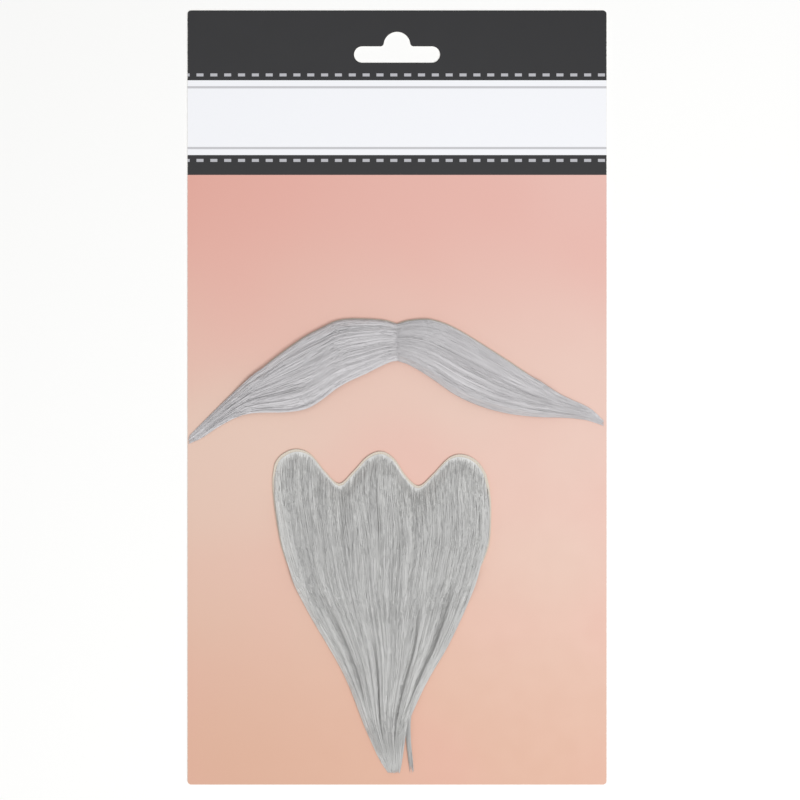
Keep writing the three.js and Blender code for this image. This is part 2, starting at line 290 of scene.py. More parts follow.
FLOOR_HALF = 3.0
FLOOR_DROP = 0.02 * MM
KEY_PLACE = (0.32, -0.36, 1.3)
KEY_SIZE = 0.5
FILL_PLACE = (-0.3, 0.3, 1.6)
FILL_SIZE = 1.0
NEAREST_SEEN = 0.01


def smoothstep(value, low, high):
    t = np.clip((value - low) / (high - low), 0, 1)
    return t * t * (3 - 2 * t)


def mix(a, b, share):
    return a + (b - a) * share


def read(rows, along, column, share):
    """A smooth reading of a table's column at shares of another column, held at the table's ends."""
    x = np.array([row[along] for row in rows])
    y = np.array([row[column] for row in rows])
    slope = np.empty(len(rows))
    slope[1:-1] = (y[2:] - y[:-2]) / (x[2:] - x[:-2])
    slope[0] = (y[1] - y[0]) / (x[1] - x[0])
    slope[-1] = (y[-1] - y[-2]) / (x[-1] - x[-2])
    share = np.clip(share, x[0], x[-1])
    i = np.clip(np.searchsorted(x, share, side="right") - 1, 0, len(rows) - 2)
    span = x[i + 1] - x[i]
    u = (share - x[i]) / span
    return (
        (2 * u**3 - 3 * u**2 + 1) * y[i]
        + (u**3 - 2 * u**2 + u) * slope[i] * span
        + (3 * u**2 - 2 * u**3) * y[i + 1]
        + (u**3 - u**2) * slope[i + 1] * span
    )


def lattice_noise(x, y, seed):
    """Soft noise from 0 to 1, one random value at each whole x and y."""
    random = np.random.default_rng(seed)
    values = random.random((int(np.max(x)) + 3, int(np.max(y)) + 3))
    i, j = np.floor(x).astype(int), np.floor(y).astype(int)
    u, v = smoothstep(x - i, 0, 1), smoothstep(y - j, 0, 1)
    near = mix(values[i, j], values[i + 1, j], u)
    far = mix(values[i, j + 1], values[i + 1, j + 1], u)
    return mix(near, far, v)


class Wing:
    """One wing of the moustache, from the parting out to its tip. across runs down from its upper edge."""

    shows_rim = (1, 0)  # the sides on which the cloth shows past the hair
    belly = 0
    locks = 6
    streaks = 18
    parting_depth = 0.2
    painted_edge_light = 0.0
    # Painted shade: the wing's roots are painted darker
    painted_root_shading = -0.1
    root_height = 1.0  # of the hair at its roots, as a share of its full height
    root_rise = 0.045  # share of a strand's length in which it comes up to the surface
    root_gap = -WING_LAP
    body_rise = 0.08  # where along its length the hair's body has its full height

    def __init__(self, rows, low, high, partings):
        self.rows, self.partings = rows, partings
        self.side = 1 if high.x > -low.x else -1
        self.length = max(-low.x, high.x)
        self.fall = CREST - low.y
        self.height = high.z - HAIR_FLOOR
        self.cloth_end = CLOTH_HIGH.x / RIGHT_HIGH.x

    def start(self, across):
        return 0 * across

    def loft(self, share):
        return read(self.rows, "out", "loft", share)

    def place(self, share, across, inset=(0, 0)):
        top = CREST - read(self.rows, "out", "top", share) * self.fall - inset[0]
        bottom = CREST - read(self.rows, "out", "bottom", share) * self.fall + inset[1]
        return self.side * share * self.length + 0 * across, mix(top, bottom, across)


class Goatee:
    """The goatee, from its lobes down to its tip. across runs from its left side to its right."""

    shows_rim = (1, 1)
    belly = CLOTH_BELLY
    locks = 9
    streaks = 64
    parting_depth = 0.55
    # Painted light: the goatee's first side is painted paler
    painted_edge_light = 0.5
    # Painted light: the goatee's roots are painted paler
    painted_root_shading = 0.25
    root_height = 0.4
    root_rise = 0.04
    root_gap = CLOTH_RIM
    body_rise = 0.06

    def __init__(self, partings):
        self.partings = partings
        self.middle = (BIB_LOW.x + BIB_HIGH.x) / 2
        self.half = (BIB_HIGH.x - BIB_LOW.x) / 2
        self.top = BIB_HIGH.y
        self.length = self.top - BEARD_LOW.y
        self.height = BEARD_HIGH.z - HAIR_FLOOR
        self.cloth_end = (BIB_HIGH.y - BIB_LOW.y) / self.length - CLOTH_BELLY

    def start(self, across):
        shoulders = GOATEE_SIDES[0]
        return read(GOATEE_CROWN, "across", "down", mix(shoulders["left"], shoulders["right"], across))

    def loft(self, share):
        return read(GOATEE_SIDES, "down", "loft", share)

    def place(self, share, across, inset=(0, 0)):
        left = self.middle + read(GOATEE_SIDES, "down", "left", share) * self.half + inset[0]
        right = self.middle + read(GOATEE_SIDES, "down", "right", share) * self.half - inset[1]
        return mix(left, right, across), self.top - share * self.length + 0 * across


class StrayLock(Goatee):
    """The thin lock that leaves the goatee above its tip."""

    shows_rim = (0, 0)
    locks = 1
    streaks = 3
    painted_edge_light = 0.0
    painted_root_shading = 0.0
    root_gap = 0

    def __init__(self):
        super().__init__([])
        self.height = STRAY_HEIGHT
        self.cloth_end = 0
        self.belly = 0

    def start(self, across):
        return GOATEE_WISP[0]["down"] + 0 * across

    def loft(self, share):
        return 1 + 0 * share

    def place(self, share, across, inset=(0, 0)):
        centre = self.middle + read(GOATEE_WISP, "down", "across", share) * self.half
        return centre + (2 * across - 1) * STRAY_HALF_WIDTH, self.top - share * self.length + 0 * across


def make_wings():
    return {
        "left": Wing(LEFT_WING, LEFT_LOW, LEFT_HIGH, LEFT_PARTINGS),
        "right": Wing(RIGHT_WING, RIGHT_LOW, RIGHT_HIGH, RIGHT_PARTINGS),
    }


def part_hair(partings, share, across):
    """Moves the hair aside at its partings. Gives its new place across, and how open it is there."""
    moved, openness = across + 0 * share, 0 * share * across
    for row in partings:
        opened = smoothstep(share, row["opens"], row["full"])
        opened = opened * (1 - smoothstep(share, row["closes"], row["shut"]))
        aside = across - row["across"]
        push = np.tanh(aside / PARTING_EDGE) * np.exp(-np.abs(aside) / PARTING_REACH)
        moved = moved + opened * row["width"] * push
        openness = np.maximum(openness, opened * np.exp(-((aside / PARTING_FALL) ** 2)))
    return moved, openness


def rim_shown(share, cloth_end):
    return 1 - smoothstep(share, cloth_end - EDGE_FADE, cloth_end)


def cloth_ends(sheet, across):
    """Where the cloth ends below each place across, as a share of the hair's length."""
    return sheet.cloth_end + 4 * sheet.belly * across * (1 - across)


def hair_surface(sheet, along, across):
    """Where the hair lies: x, y, the floor under it and its thickness. along runs from root to tip."""
    share = mix(sheet.start(across) + sheet.root_gap / sheet.length, 1, along)
    parted, openness = part_hair(sheet.partings, share, across)
    rim = CLOTH_RIM * rim_shown(share, sheet.cloth_end)
    inset = [rim * shows - FRINGE for shows in sheet.shows_rim]
    x, y = sheet.place(share, parted, inset)
    cloth_end = cloth_ends(sheet, across)
    dropped = smoothstep(share, cloth_end, cloth_end + LOOSE_DROP / sheet.length)
    floor = mix(HAIR_FLOOR, LOOSE_FLOOR, dropped)
    crown = mix(EDGE_CROWN, 1, (1 - np.abs(2 * across - 1) ** CROWN_SHAPE[0]) ** CROWN_SHAPE[1])
    rise = mix(sheet.root_height, 1, smoothstep(along, 0, ROOT_RISE))
    cells = share * LOCK_TURNS + 1 + 0 * across
    wobble = lattice_noise(cells, across * sheet.locks + 0 * share, LOCK_SEED)
    ridge = np.abs(np.sin(np.pi * (across * sheet.locks + wobble / 2))) ** LOCK_SHAPE
    streak = lattice_noise(across * sheet.streaks + 0 * share, cells, STREAK_SEED) - 0.5
    fading = 1 - smoothstep(share, *STREAKS_FADE)
    relief = 1 - LOCK_DEPTH * (1 - ridge) + STREAK_DEPTH * fading * streak
    full = sheet.height * sheet.loft(share) * crown * rise * relief
    return x, y, floor, np.maximum(full * (1 - sheet.parting_depth * openness), THINNEST_HAIR)


def eased(count):
    """Shares from 0 to 1 that lie closer together towards both ends."""
    return (1 - np.cos(np.linspace(0, np.pi, count))) / 2


def grid_faces(rows, columns, first=0, flipped=False):
    i, j = np.meshgrid(np.arange(rows - 1), np.arange(columns - 1), indexing="ij")
    a = (first + i * columns + j).ravel()
    faces = np.stack([a, a + columns, a + columns + 1, a + 1], axis=1)
    return faces[:, ::-1] if flipped else faces


def new_object(name, points, faces):
    mesh = bpy.data.meshes.new(name)
    mesh.from_pydata(points.reshape(-1, 3), [], faces.tolist())
    mesh.shade_smooth()
    made = bpy.data.objects.new(name, mesh)
    bpy.context.scene.collection.objects.link(made)
    return made


def closed_shell(name, top, bottom, tone=None):
    """A closed body between two grids of points, the upper one and the lower one."""
    rows, columns = top.shape[:2]
    count = rows * columns
    index = np.arange(count).reshape(rows, columns)
    rim = np.concatenate([index[0, :-1], index[:-1, -1], index[-1, :0:-1], index[:0:-1, 0]])
    after = np.roll(rim, -1)
    walls = np.stack([rim, after, after + count, rim + count], axis=1)
    lids = [grid_faces(rows, columns), grid_faces(rows, columns, count, flipped=True)]
    made = new_object(name, np.stack([top, bottom]), np.concatenate([*lids, walls]))
    if tone is not None:
        held = made.data.attributes.new("tone", "FLOAT", "POINT")
        held.data.foreach_set("value", np.tile(tone.ravel(), 2).astype(np.float32))
    tidy = bmesh.new()
    tidy.from_mesh(made.data)
    bmesh.ops.remove_doubles(tidy, verts=tidy.verts, dist=0.001 * MM)
    bmesh.ops.recalc_face_normals(tidy, faces=tidy.faces)
    tidy.to_mesh(made.data)
    tidy.free()
    made.data.shade_smooth()
    made.data.set_sharp_from_angle(angle=SHARP_FROM)
    return made


def ride_on_card(piece, slot, *nodes):
    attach(piece, ROOT)
    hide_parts(*nodes)


def linear(hexadecimal):
    """An sRGB colour such as "#c8c6c8" as linear red, green, blue and alpha."""
    shares = [int(hexadecimal[i : i + 2], 16) / 255 for i in (1, 3, 5)]
    return [c / 12.92 if c <= 0.04045 else ((c + 0.055) / 1.055) ** 2.4 for c in shares] + [1.0]


def add(tree, kind, inputs=(), **settings):
    """Adds a node with its settings, and fills or links its inputs by name or by place."""
    node = tree.nodes.new(kind)
    for key, value in settings.items():
        setattr(node, key, value)
    for key, value in dict(inputs).items():
        named = [s for s in node.inputs if s.enabled and s.name == key]
        socket = named[0] if named else node.inputs[key]
        if isinstance(value, bpy.types.Node):
            value = next(s for s in value.outputs if s.enabled)
        if isinstance(value, bpy.types.NodeSocket):
            tree.links.new(value, socket)
        else:
            socket.default_value = value
    return node


def combed_strands():
    """The node tree that lays strands along a guide surface, whose UV map runs along and across it."""
    tree = bpy.data.node_groups.new("Combed strands", "GeometryNodeTree")
    for kind, names in STRAND_INPUTS.items():
        for name in names:
            tree.interface.new_socket(name, in_out="INPUT", socket_type="NodeSocket" + kind)
    tree.interface.new_socket("Hair", in_out="OUTPUT", socket_type="NodeSocketGeometry")
    node = partial(add, tree)
    given = node("NodeGroupInput").outputs

    index = node("GeometryNodeInputIndex")
    points = node("GeometryNodePoints", {"Count": given["Strands"]})
    numbered = node(
        "GeometryNodeStoreNamedAttribute", {"Geometry": points, "Name": "strand", "Value": index},
        data_type="INT", domain="POINT",
    )
    line = node("GeometryNodeCurvePrimitiveLine")
    stepped = node("GeometryNodeResampleCurve", {"Curve": line, "Count": given["Stations"]})
    laid = node("GeometryNodeInstanceOnPoints", {"Points": numbered, "Instance": stepped})
    loose = node("GeometryNodeRealizeInstances", {"Geometry": laid})

    strand = node("GeometryNodeInputNamedAttribute", {"Name": "strand"}, data_type="INT")
    along = node("GeometryNodeSplineParameter").outputs["Factor"]
    chance = {}
    for number, what in enumerate(("cut", "depth", "stray", "tone")):
        seed = node("ShaderNodeMath", {0: given["Seed"], 1: number}, operation="ADD")
        chance[what] = node("FunctionNodeRandomValue", {"ID": strand, "Seed": seed}, data_type="FLOAT")

    # Golden steps spread the strands evenly across the hair, whatever their number
    step = node("ShaderNodeMath", {0: strand, 1: GOLDEN_STEP}, operation="MULTIPLY")
    shift = node(
        "ShaderNodeMath", {0: given["Seed"], 1: GOLDEN_STEP / 2, 2: step}, operation="MULTIPLY_ADD"
    )
    home = node("ShaderNodeMath", {0: shift}, operation="FRACT")

    # The strands nearest the surface start at the roots, and each deeper one starts further along
    root = node("ShaderNodeMath", {0: chance["depth"], 1: ROOT_POWER}, operation="POWER")
    uneven = node("ShaderNodeMath", {0: chance["cut"], 1: given["Root unevenness"]}, operation="MULTIPLY")
    begin = node(
        "ShaderNodeMath", {0: root, 1: given["Root spread"], 2: uneven}, operation="MULTIPLY_ADD"
    )
    cut = node("ShaderNodeMath", {0: chance["cut"], 1: CUT_POWER}, operation="POWER")
    short = node("ShaderNodeMath", {0: cut, 1: given["Shortness"]}, operation="MULTIPLY")
    end = node("ShaderNodeMath", {0: 1.0, 1: short}, operation="SUBTRACT")
    share = node("ShaderNodeMapRange", {"Value": along, "To Min": begin, "To Max": end})

    # Each strand wanders a little on its own, and a few stray further and lie on top
    turns = node("ShaderNodeMath", {0: share, 1: WANDER_WAVES}, operation="MULTIPLY")
    row = node("ShaderNodeMath", {0: strand, 1: UNLIKE_STEP}, operation="MULTIPLY")
    where = node("ShaderNodeCombineXYZ", {"X": turns, "Y": row, "Z": given["Seed"]})
    wave = node("ShaderNodeTexNoise", {"Vector": where, "Scale": 1.0, "Detail": 1.0})
    swing = node("ShaderNodeMath", {0: wave, 1: 0.5}, operation="SUBTRACT")
    stray = node("ShaderNodeMath", {0: chance["stray"], 1: given["Strays"]}, operation="LESS_THAN")
    reach = node(
        "ShaderNodeMapRange", {"Value": stray, "To Min": given["Wander"], "To Max": given["Stray wander"]}
    )
    alone = node("ShaderNodeMath", {0: swing, 1: reach, 2: home}, operation="MULTIPLY_ADD")

    # Neighbours lean aside together, differently in each layer, so locks cross a little
    lock = node("ShaderNodeMath", {0: home, 1: given["Locks"]}, operation="MULTIPLY")
    run = node("ShaderNodeMath", {0: share, 1: LEAN_WAVES}, operation="MULTIPLY")
    crossing = node("ShaderNodeCombineXYZ", {"X": lock, "Y": run, "Z": given["Seed"]})
    bend = node("ShaderNodeTexNoise", {"Vector": crossing, "Scale": 1.0, "Detail": 0.0})
    lean = node("ShaderNodeMath", {0: bend, 1: 0.5}, operation="SUBTRACT")
    across = node("ShaderNodeMath", {0: lean, 1: given["Lean"], 2: alone}, operation="MULTIPLY_ADD")
    kept = node("ShaderNodeClamp", {"Value": across, "Min": SIDE_GAP, "Max": 1 - SIDE_GAP})
    down = node("ShaderNodeClamp", {"Value": share, "Min": END_GAP, "Max": 1 - END_GAP})
    spot = node("ShaderNodeCombineXYZ", {"X": down, "Y": kept})

    flow = node("GeometryNodeInputNamedAttribute", {"Name": "flow"}, data_type="FLOAT_VECTOR")
    place = node("GeometryNodeInputPosition")
    surface = node(
        "GeometryNodeSampleUVSurface",
        {"Mesh": given["Guide"], "Value": place, "UV Map": flow, "Sample UV": spot},
        data_type="FLOAT_VECTOR",
    )
    thickness = node("GeometryNodeInputNamedAttribute", {"Name": "thickness"}, data_type="FLOAT")
    thick = node(
        "GeometryNodeSampleUVSurface",
        {"Mesh": given["Guide"], "Value": thickness, "UV Map": flow, "Sample UV": spot},
        data_type="FLOAT",
    )
    skewed = node("ShaderNodeMath", {0: chance["depth"], 1: DEPTH_POWER}, operation="POWER")
    depth = node(
        "ShaderNodeMapRange",
        {"Value": skewed, "To Min": given["Upper depth"], "To Max": given["Lower depth"]},
    )
    level = node("ShaderNodeMath", {0: 1.0, 1: depth}, operation="SUBTRACT")
    rise = node(
        "ShaderNodeMapRange", {"Value": along, "From Max": given["Root rise"]},
        interpolation_type="SMOOTHSTEP",
    )
    settle = node(
        "ShaderNodeMapRange",
        {"Value": along, "From Min": SETTLE_FROM, "To Min": 1.0, "To Max": SETTLE_TO},
        interpolation_type="SMOOTHSTEP",
    )
    risen = node("ShaderNodeMath", {0: level, 1: rise}, operation="MULTIPLY")
    height = node("ShaderNodeMath", {0: risen, 1: settle}, operation="MULTIPLY")
    below = node("ShaderNodeMath", {0: height, 1: 1.0}, operation="SUBTRACT")
    lift = node("ShaderNodeMath", {0: stray, 1: given["Stray lift"]}, operation="MULTIPLY")
    sunk = node("ShaderNodeMath", {0: below, 1: thick, 2: lift}, operation="MULTIPLY_ADD")
    offset = node("ShaderNodeCombineXYZ", {"Z": sunk})
    combed = node("GeometryNodeSetPosition", {"Geometry": loose, "Position": surface, "Offset": offset})

    # Bundles of strands share a tone, and each strand differs from its bundle a little. Light and shade
    # are painted on at the roots, and light at the first side and at the thin ends
    column = node("ShaderNodeMath", {0: home, 1: given["Streaks"]}, operation="MULTIPLY")
    drift = node("ShaderNodeMath", {0: share, 1: STREAK_DRIFT}, operation="MULTIPLY")
    cell = node("ShaderNodeCombineXYZ", {"X": column, "Y": drift})
    bundle = node("ShaderNodeTexNoise", {"Vector": cell, "Scale": 1.0, "Detail": 2.0})
    own = node(
        "ShaderNodeMapRange",
        {"Value": chance["tone"], "To Min": -STRAND_CONTRAST, "To Max": STRAND_CONTRAST},
    )
    strong = node("ShaderNodeMath", {0: bundle, 1: 0.5}, operation="SUBTRACT")
    both = node("ShaderNodeMath", {0: strong, 1: STREAK_CONTRAST, 2: own}, operation="MULTIPLY_ADD")
    # Painted light and shade at the roots: paler where the value is above zero, darker where it is below
    painted_roots = node(
        "ShaderNodeMapRange",
        {"Value": share, "From Max": ROOT_REACH, "To Min": given["Painted root shading"], "To Max": 0.0},
        interpolation_type="SMOOTHSTEP",
    )
    # Painted light: past TIP_FROM the thin ends are mixed towards a pale tone, which also evens out their
    # streaks
    painted_tip_light = node("ShaderNodeMapRange", {"Value": share, "From Min": TIP_FROM, "To Max": TIP_EVENNESS_AND_LIGHT})
    # Painted light: the strands nearest the first side are painted paler
    edge = node(
        "ShaderNodeMapRange",
        {"Value": kept, "From Max": EDGE_WIDTH, "To Min": given["Painted edge light"], "To Max": 0.0},
        interpolation_type="SMOOTHSTEP",
    )
    tone = node("ShaderNodeMath", {0: both, 1: 0.5}, operation="ADD")
    for paler in (painted_roots, edge):
        tone = node("ShaderNodeMath", {0: tone, 1: paler}, operation="ADD")
    tone = node("ShaderNodeMix", {"Factor": painted_tip_light, "A": tone, "B": PAINTED_TIP_LIGHT})
    toned = node(
        "GeometryNodeStoreNamedAttribute", {"Geometry": combed, "Name": "tone", "Value": tone},
        data_type="FLOAT", domain="POINT",
    )

    taper = node(
        "ShaderNodeMapRange",
        {"Value": along, "From Min": TAPER_FROM, "To Min": 1.0, "To Max": TAPER_TO},
        interpolation_type="SMOOTHSTEP",
    )
    section = node("GeometryNodeCurvePrimitiveCircle", {"Resolution": 3, "Radius": given["Radius"]})
    tubes = node(
        "GeometryNodeCurveToMesh",
        {"Curve": toned, "Profile Curve": section, "Scale": taper, "Fill Caps": True},
    )
    smooth = node("GeometryNodeSetShadeSmooth", {"Geometry": tubes})
    coloured = node("GeometryNodeSetMaterial", {"Geometry": smooth, "Material": given["Fibre"]})
    real = node("GeometryNodeRealizeInstances", {"Geometry": coloured})
    node("NodeGroupOutput", {"Hair": real})
    return tree


def guide_surface(sheet):
    """The hair's top surface, for strands to follow, with its thickness at each point."""
    along = np.linspace(0, 1, GUIDE_ROWS)[:, None]
    across = eased(GUIDE_COLUMNS)[None, :]
    x, y, floor, thickness = hair_surface(sheet, along, across)
    points = np.stack([x, y, floor + thickness], axis=2)
    guide = new_object("guide", points, grid_faces(GUIDE_ROWS, GUIDE_COLUMNS))
    spots = np.stack(np.broadcast_arrays(along, across), axis=2).reshape(-1, 2)
    corners = np.empty(len(guide.data.loops), dtype=np.int32)
    guide.data.loops.foreach_get("vertex_index", corners)
    flow = guide.data.uv_layers.new(name="flow")
    flow.uv.foreach_set("vector", spots[corners].astype(np.float32).ravel())
    held = guide.data.attributes.new("thickness", "FLOAT", "POINT")
    held.data.foreach_set("value", thickness.astype(np.float32).ravel())
    return guide


def grow(name, sheet, tree, look, fibre, seed, settings):
    """Runs the tree on a sheet's guide surface and keeps the result as a plain mesh."""
    inputs = {
        "Radius": look.radius,
        "Wander": look.wander,
        "Strays": look.strays,
        "Stray wander": STRAY_WANDER * look.wander,
        "Stray lift": STRAY_LIFT,
        "Streaks": float(sheet.streaks),
        "Locks": 2.0 * sheet.locks,
        "Lean": look.lean,
        "Upper depth": 0.0,
        "Painted edge light": sheet.painted_edge_light,
        "Painted root shading": sheet.painted_root_shading,
        "Root rise": sheet.root_rise,
        "Seed": seed,
        "Fibre": fibre,
        **settings,
    }
    guide = guide_surface(sheet)
    modifier = guide.modifiers.new("strands", "NODES")
    modifier.node_group = tree
    for item in tree.interface.items_tree:
        if item.name in inputs:
            modifier[item.identifier] = inputs[item.name]
    grown = guide.evaluated_get(bpy.context.evaluated_depsgraph_get())
    mesh = bpy.data.meshes.new_from_object(grown)
    mesh.name = name
    mesh.attributes.remove(mesh.attributes["strand"])
    bpy.data.objects.remove(guide)
    made = bpy.data.objects.new(name, mesh)
    bpy.context.scene.collection.objects.link(made)
    return made


def cloth_grid(sheet, tucked_sides):
    """Points over a backing, from the roots to its end and from one side to the other."""
    along = np.linspace(0, 1, CLOTH_ROWS)[:, None]
    across = eased(CLOTH_COLUMNS)[None, :]
    share = mix(sheet.start(across), cloth_ends(sheet, across), along)
    under = 1 - rim_shown(share, sheet.cloth_end)
    inset = [CLOTH_TUCK * np.maximum(under, always) for always in tucked_sides]
    return np.stack(sheet.place(share, across, inset), axis=2)


def knitted_piece(name, node, grid, knit, radius):
    low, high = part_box(node)
    level = np.ones(grid.shape[:2])
    cloth = closed_shell(name, np.dstack([grid, high.z * level]), np.dstack([grid, low.z * level]))
    cloth.data.materials.append(knit)
    rounding = cloth.modifiers.new("rounded edge", "BEVEL")
    rounding.width = radius
    rounding.segments = 2
    rounding.limit_method = "ANGLE"
    rounding.angle_limit = radians(60)
    ride_on_card(cloth, "knitted_cloth", node)


def under_hair(name, sheet, end):
    """The body of the hair below its top strands, closed, with the streaks' tone on its points."""
    along = np.linspace(0, end, BODY_ROWS)[:, None]
    narrowing = smoothstep(along, BODY_FADE * end, end)
    margin = mix(BODY_MARGIN, BODY_END_MARGIN, narrowing)
    across = mix(margin, 1 - margin, eased(BODY_COLUMNS)[None, :])
    x, y, floor, thickness = hair_surface(sheet, along, across)
    sides = np.sqrt(1 - np.abs(2 * eased(BODY_COLUMNS)[None, :] - 1) ** BODY_SIDES)
    thinning = np.sqrt(1 - narrowing)
    low = floor + BODY_LIFT
    share_of_height = BODY_SHARE * sides * thinning * smoothstep(along, 0, sheet.body_rise)
    high = low + thickness * share_of_height
    # Its tone streaks share the relief's streak seed, meant as painted shade in the streaks' valleys;
    # their noise cells are laid out differently, so the two do not line up
    cells = along * BODY_DRIFT + 0 * across
    streak = lattice_noise(across * sheet.streaks + 0 * along, cells, STREAK_SEED)
    # The same painted light and shade at the roots
    painted_roots = sheet.painted_root_shading * (1 - smoothstep(along, 0, ROOT_REACH))
    tone = 0.5 + BODY_CONTRAST * (streak - 0.5) + painted_roots
    return closed_shell(name, np.stack([x, y, high], axis=2), np.stack([x, y, low], axis=2), tone)


def new_material(name):
    """A material with no nodes yet, and what adds them."""
    made = bpy.data.materials.new(name)
    made.use_nodes = True
    made.node_tree.nodes.clear()
    return made, partial(add, made.node_tree)


def printed_board(look):
    # Solid bleached board about 0.6 mm thick, offset printed and given a satin varnish: flat even ink with
    # a soft shine, a faint paper tooth, and white fibres where the guillotine broke the edge
    made, node = new_material("Satin varnished printed board")
    place = node("ShaderNodeTexCoord").outputs["Object"]
    axes = node("ShaderNodeSeparateXYZ", {"Vector": place}).outputs
    down = node("ShaderNodeMath", {0: CARD_HIGH.y, 1: axes["Y"]}, operation="SUBTRACT")

    # The bare panel: warm pink above, palest in the middle and peach below, a little paler towards its
    # upper right corner, and mottled softly
    card_height = CARD_HIGH.y - CARD_LOW.y
    middle_down = mix(look.panel_top, card_height, look.panel_middle)
    panel = look.panel_upper
    for top, bottom, lower in (
        (look.panel_top, middle_down, look.panel_palest),
        (middle_down, card_height, look.panel_lower),
    ):
        downwards = node(
            "ShaderNodeMapRange", {"Value": down, "From Min": top, "From Max": bottom},
            interpolation_type="SMOOTHSTEP",
        )
        panel = node("ShaderNodeMix", {"Factor": downwards, "A": panel, "B": lower}, data_type="RGBA")
    rightwards = node(
        "ShaderNodeMapRange", {"Value": axes["X"], "From Min": CARD_LOW.x, "From Max": CARD_HIGH.x}
    )
    upwards = node(
        "ShaderNodeMapRange",
        {"Value": down, "From Min": card_height, "From Max": look.panel_top, "To Max": CORNER_SHARE},
    )
    paled = node("ShaderNodeMath", {0: rightwards, 1: upwards}, operation="MULTIPLY")
    panel = node("ShaderNodeMix", {"Factor": paled, "A": panel, "B": look.panel_corner}, data_type="RGBA")
    cloud = node("ShaderNodeTexNoise", {"Vector": place, "Scale": 1 / look.mottle_size, "Detail": 1.0})
    clouded = node(
        "ShaderNodeMapRange",
        {"Value": cloud, "From Min": 0.4, "From Max": 0.75, "To Max": look.mottle},
        interpolation_type="SMOOTHSTEP",
    )
    ink = node("ShaderNodeMix", {"Factor": clouded, "A": panel, "B": look.panel_blush}, data_type="RGBA")

    # The bands, the thin rules and the rows of dashes are printed over each other in this order
    half_pitch = look.dash_pitch / 2
    wrapped = node(
        "ShaderNodeMath",
        {0: axes["X"], 1: look.dash_start + half_pitch, 2: look.dash_start - half_pitch},
        operation="WRAP",
    )
    dashed = node(
        "ShaderNodeMath", {0: wrapped, 1: look.dash_start, 2: look.dash_length / 2}, operation="COMPARE"
    )
    white_height = look.lower_band - look.upper_band
    lower_height = look.panel_top - look.lower_band
    for middle, height, columns, colour in (
        (look.upper_band / 2, look.upper_band, 1.0, look.black),
        (look.lower_band + lower_height / 2, lower_height, 1.0, look.black),
        (look.upper_band + white_height / 2, white_height, 1.0, look.white),
        (look.upper_band + look.rule_inset, look.rule_height, 1.0, look.rule),
        (look.lower_band - look.rule_inset, look.rule_height, 1.0, look.rule),
        (look.upper_band - look.dash_inset, look.dash_height, dashed, look.dash),
        (look.lower_band + look.dash_inset, look.dash_height, dashed, look.dash),
    ):
        rows = node("ShaderNodeMath", {0: down, 1: middle, 2: height / 2}, operation="COMPARE")
        covered = node("ShaderNodeMath", {0: rows, 1: columns}, operation="MULTIPLY")
        ink = node("ShaderNodeMix", {"Factor": covered, "A": ink, "B": colour}, data_type="RGBA")

    # Ink stops short of the cut edges and lies on the face alone
    from_side = node("ShaderNodeMath", {0: axes["X"]}, operation="ABSOLUTE")
    grit = node("ShaderNodeTexNoise", {"Vector": place, "Scale": 1 / (0.4 * MM), "Detail": 3.0})
    ragged = node(
        "ShaderNodeMath", {0: grit, 1: 2 * look.worn_edge, 2: from_side}, operation="MULTIPLY_ADD"
    )
    at_side = node(
        "ShaderNodeMath", {0: ragged, 1: CARD_HIGH.x + look.worn_edge / 2}, operation="GREATER_THAN"
    )
    chipped = node("ShaderNodeMath", {0: at_side, 1: INK_CHIPPED}, operation="MULTIPLY")
    worn = node("ShaderNodeMix", {"Factor": chipped, "A": ink, "B": look.board}, data_type="RGBA")
    printed = node("ShaderNodeMath", {0: axes["Z"], 1: INK_FROM * CARD_HIGH.z}, operation="GREATER_THAN")
    flecks = node("ShaderNodeTexNoise", {"Vector": place, "Scale": 1 / (1.2 * MM), "Detail": 6.0})
    speckled = node("ShaderNodeMapRange", {"Value": flecks, "To Min": 0.0, "To Max": 0.35})
    bare = node(
        "ShaderNodeMix", {"Factor": speckled, "A": look.board, "B": look.board_fleck}, data_type="RGBA"
    )
    colour = node("ShaderNodeMix", {"Factor": printed, "A": bare, "B": worn}, data_type="RGBA")

    tooth = node("ShaderNodeTexNoise", {"Vector": place, "Scale": 1 / (0.25 * MM), "Detail": 4.0})
    bump = node("ShaderNodeBump", {"Height": tooth, "Strength": 0.08, "Distance": 0.03 * MM})
    uneven = node("ShaderNodeTexNoise", {"Vector": place, "Scale": 1 / (9 * MM), "Detail": 3.0})
    roughness = node("ShaderNodeMapRange", {"Value": uneven, "To Min": 0.4, "To Max": 0.52})
    surface = node(
        "ShaderNodeBsdfPrincipled",
        {
            "Base Color": colour,
            "Roughness": roughness,
            "Normal": bump,
            "IOR": 1.48,
            "Specular IOR Level": 0.35,
            "Coat Weight": 0.1,
            "Coat Roughness": 0.3,
        },
    )
    node("ShaderNodeOutputMaterial", {"Surface": surface})
    return made


